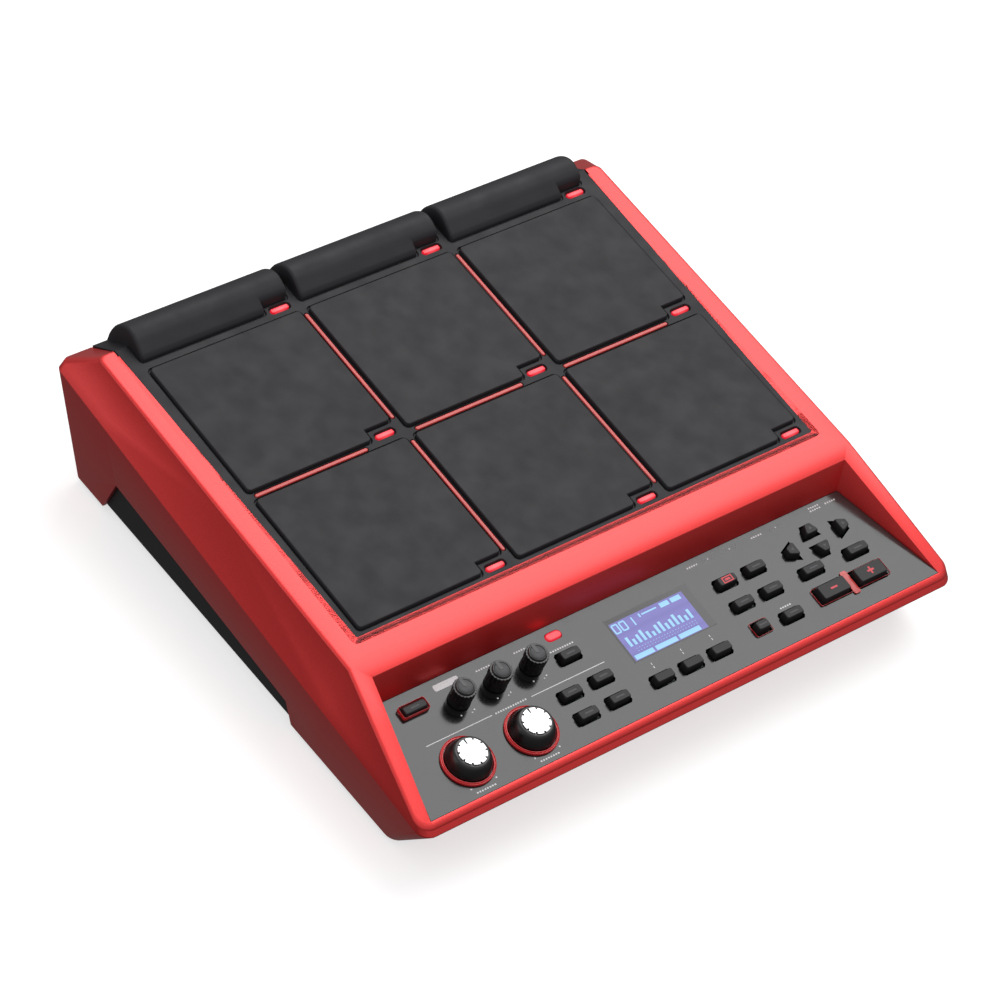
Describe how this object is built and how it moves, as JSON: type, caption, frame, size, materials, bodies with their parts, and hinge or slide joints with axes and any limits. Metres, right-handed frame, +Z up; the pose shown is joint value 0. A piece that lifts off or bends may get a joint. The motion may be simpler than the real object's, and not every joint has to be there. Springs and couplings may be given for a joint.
{
  "type": "electronic drum pad",
  "caption": "Slanted tabletop drum pad with square rubber striking pads, rounded rear pads, lamps between them and a recessed control panel with a display, knobs and buttons.",
  "frame": {"origin": "on the table, under the middle of the unit's bounding box", "axes": "+X to the player's right, +Y away from the player to the rear, +Z up"},
  "size_m": [0.364, 0.331, 0.094],
  "materials": {
    "pearl_red": "satin metallic red paint on moulded plastic",
    "case_black": "fine-grained black moulding",
    "panel_grey": "semi-gloss dark grey panel",
    "button_black": "matte black button moulding",
    "knob_black": "satin black knob moulding",
    "cap_silver": "turned and brushed aluminium",
    "pad_rubber": "matte charcoal rubber",
    "lamp_red": "clear red lamp moulding, lit from behind",
    "accent_red": "smooth red moulding",
    "display_glass": "clear window over a lit blue display",
    "board_green": "glass-epoxy circuit board",
    "foam_grey": "foamed rubber",
    "plate_steel": "zinc-plated steel sheet",
    "socket_black": "black socket moulding",
    "foot_rubber": "soft black rubber"
  },
  "bodies": {
    "unit": {"top_cover": "pearl_red", "bottom_case": "case_black", "control_panel": "panel_grey", "pad_sheet": "pad_rubber", "accent_grid": "accent_red", "sensor_foam": "foam_grey", "sensor_plate": "plate_steel", "light_guide_front": "lamp_red", "light_guide_middle": "lamp_red", "light_guide_rear": "lamp_red", "display_window": "display_glass", "display_module": "case_black", "click_lamp": "lamp_red", "control_ring_1": "lamp_red", "control_ring_2": "lamp_red", "all_off_frame": "accent_red", "value_frame": "accent_red", "record_frame": "accent_red", "panel_board": "board_green", "main_board": "board_green", "jack_block": "socket_black", "data_sockets": "socket_black", "power_inlet": "socket_black", "foot_1": "foot_rubber", "foot_2": "foot_rubber", "foot_3": "foot_rubber", "foot_4": "foot_rubber"},
    "arrow_up_button": {"arrow_up_button": "button_black"},
    "arrow_left_button": {"arrow_left_button": "button_black"},
    "arrow_right_button": {"arrow_right_button": "button_black"},
    "arrow_down_button": {"arrow_down_button": "button_black"},
    "exit_button": {"exit_button": "button_black"},
    "enter_button": {"enter_button": "button_black"},
    "minus_button": {"minus_button": "button_black"},
    "plus_button": {"plus_button": "button_black"},
    "menu_button": {"menu_button": "button_black"},
    "kit_button": {"kit_button": "button_black"},
    "wave_button": {"wave_button": "button_black"},
    "setup_button": {"setup_button": "button_black"},
    "shift_button": {"shift_button": "button_black"},
    "record_button": {"record_button": "button_black"},
    "function_1_button": {"function_1_button": "button_black"},
    "function_2_button": {"function_2_button": "button_black"},
    "function_3_button": {"function_3_button": "button_black"},
    "effect_1_button": {"effect_1_button": "button_black"},
    "effect_2_button": {"effect_2_button": "button_black"},
    "effect_3_button": {"effect_3_button": "button_black"},
    "effect_4_button": {"effect_4_button": "button_black"},
    "click_button": {"click_button": "button_black"},
    "all_off_button": {"all_off_button": "button_black"},
    "control_knob_1": {"control_knob_1": "knob_black", "control_knob_1_cap": "cap_silver"},
    "control_knob_2": {"control_knob_2": "knob_black", "control_knob_2_cap": "cap_silver"},
    "main_volume_knob": {"main_volume_knob": "knob_black"},
    "phones_volume_knob": {"phones_volume_knob": "knob_black"},
    "click_volume_knob": {"click_volume_knob": "knob_black"},
    "power_button": {"power_button": "button_black"},
    "input_level_knob": {"input_level_knob": "knob_black"}
  },
  "joints": [
    {"name": "arrow_up_button_press", "type": "slide", "parent": "unit", "child": "arrow_up_button", "axis": [0, 0.1305, -0.9914], "range_m": [0, 0.0008], "stiffness_N_per_m": 800},
    {"name": "arrow_left_button_press", "type": "slide", "parent": "unit", "child": "arrow_left_button", "axis": [0, 0.1305, -0.9914], "range_m": [0, 0.0008], "stiffness_N_per_m": 800},
    {"name": "arrow_right_button_press", "type": "slide", "parent": "unit", "child": "arrow_right_button", "axis": [0, 0.1305, -0.9914], "range_m": [0, 0.0008], "stiffness_N_per_m": 800},
    {"name": "arrow_down_button_press", "type": "slide", "parent": "unit", "child": "arrow_down_button", "axis": [0, 0.1305, -0.9914], "range_m": [0, 0.0008], "stiffness_N_per_m": 800},
    {"name": "exit_button_press", "type": "slide", "parent": "unit", "child": "exit_button", "axis": [0, 0.1305, -0.9914], "range_m": [0, 0.0008], "stiffness_N_per_m": 800},
    {"name": "enter_button_press", "type": "slide", "parent": "unit", "child": "enter_button", "axis": [0, 0.1305, -0.9914], "range_m": [0, 0.0008], "stiffness_N_per_m": 800},
    {"name": "minus_button_press", "type": "slide", "parent": "unit", "child": "minus_button", "axis": [0, 0.1305, -0.9914], "range_m": [0, 0.0008], "stiffness_N_per_m": 800},
    {"name": "plus_button_press", "type": "slide", "parent": "unit", "child": "plus_button", "axis": [0, 0.1305, -0.9914], "range_m": [0, 0.0008], "stiffness_N_per_m": 800},
    {"name": "menu_button_press", "type": "slide", "parent": "unit", "child": "menu_button", "axis": [0, 0.1305, -0.9914], "range_m": [0, 0.0008], "stiffness_N_per_m": 800},
    {"name": "kit_button_press", "type": "slide", "parent": "unit", "child": "kit_button", "axis": [0, 0.1305, -0.9914], "range_m": [0, 0.0008], "stiffness_N_per_m": 800},
    {"name": "wave_button_press", "type": "slide", "parent": "unit", "child": "wave_button", "axis": [0, 0.1305, -0.9914], "range_m": [0, 0.0008], "stiffness_N_per_m": 800},
    {"name": "setup_button_press", "type": "slide", "parent": "unit", "child": "setup_button", "axis": [0, 0.1305, -0.9914], "range_m": [0, 0.0008], "stiffness_N_per_m": 800},
    {"name": "shift_button_press", "type": "slide", "parent": "unit", "child": "shift_button", "axis": [0, 0.1305, -0.9914], "range_m": [0, 0.0008], "stiffness_N_per_m": 800},
    {"name": "record_button_press", "type": "slide", "parent": "unit", "child": "record_button", "axis": [0, 0.1305, -0.9914], "range_m": [0, 0.0008], "stiffness_N_per_m": 800},
    {"name": "function_1_button_press", "type": "slide", "parent": "unit", "child": "function_1_button", "axis": [0, 0.1305, -0.9914], "range_m": [0, 0.0008], "stiffness_N_per_m": 800},
    {"name": "function_2_button_press", "type": "slide", "parent": "unit", "child": "function_2_button", "axis": [0, 0.1305, -0.9914], "range_m": [0, 0.0008], "stiffness_N_per_m": 800},
    {"name": "function_3_button_press", "type": "slide", "parent": "unit", "child": "function_3_button", "axis": [0, 0.1305, -0.9914], "range_m": [0, 0.0008], "stiffness_N_per_m": 800},
    {"name": "effect_1_button_press", "type": "slide", "parent": "unit", "child": "effect_1_button", "axis": [0, 0.1305, -0.9914], "range_m": [0, 0.0008], "stiffness_N_per_m": 800},
    {"name": "effect_2_button_press", "type": "slide", "parent": "unit", "child": "effect_2_button", "axis": [0, 0.1305, -0.9914], "range_m": [0, 0.0008], "stiffness_N_per_m": 800},
    {"name": "effect_3_button_press", "type": "slide", "parent": "unit", "child": "effect_3_button", "axis": [0, 0.1305, -0.9914], "range_m": [0, 0.0008], "stiffness_N_per_m": 800},
    {"name": "effect_4_button_press", "type": "slide", "parent": "unit", "child": "effect_4_button", "axis": [0, 0.1305, -0.9914], "range_m": [0, 0.0008], "stiffness_N_per_m": 800},
    {"name": "click_button_press", "type": "slide", "parent": "unit", "child": "click_button", "axis": [0, 0.1305, -0.9914], "range_m": [0, 0.0008], "stiffness_N_per_m": 800},
    {"name": "all_off_button_press", "type": "slide", "parent": "unit", "child": "all_off_button", "axis": [0, 0.1305, -0.9914], "range_m": [0, 0.0008], "stiffness_N_per_m": 800},
    {"name": "control_knob_1_turn", "type": "hinge", "parent": "unit", "child": "control_knob_1", "pos_m": [-0.1362, -0.13988, 0.04193], "axis": [0, -0.1305, 0.9914], "range_deg": [-140, 140]},
    {"name": "control_knob_2_turn", "type": "hinge", "parent": "unit", "child": "control_knob_2", "pos_m": [-0.0952, -0.13988, 0.04193], "axis": [0, -0.1305, 0.9914], "range_deg": [-140, 140]},
    {"name": "main_volume_knob_turn", "type": "hinge", "parent": "unit", "child": "main_volume_knob", "pos_m": [-0.1184, -0.10826, 0.04609], "axis": [0, -0.1305, 0.9914], "range_deg": [-150, 150]},
    {"name": "phones_volume_knob_turn", "type": "hinge", "parent": "unit", "child": "phones_volume_knob", "pos_m": [-0.0949, -0.10826, 0.04609], "axis": [0, -0.1305, 0.9914], "range_deg": [-150, 150]},
    {"name": "click_volume_knob_turn", "type": "hinge", "parent": "unit", "child": "click_volume_knob", "pos_m": [-0.0714, -0.10826, 0.04609], "axis": [0, -0.1305, 0.9914], "range_deg": [-150, 150]},
    {"name": "power_button_press", "type": "slide", "parent": "unit", "child": "power_button", "axis": [0, -1, 0], "range_m": [0, 0.0025], "stiffness_N_per_m": 400},
    {"name": "input_level_knob_turn", "type": "hinge", "parent": "unit", "child": "input_level_knob", "pos_m": [0.012, 0.1401, 0.032], "axis": [0, 1, 0], "range_deg": [-140, 140]}
  ]
}
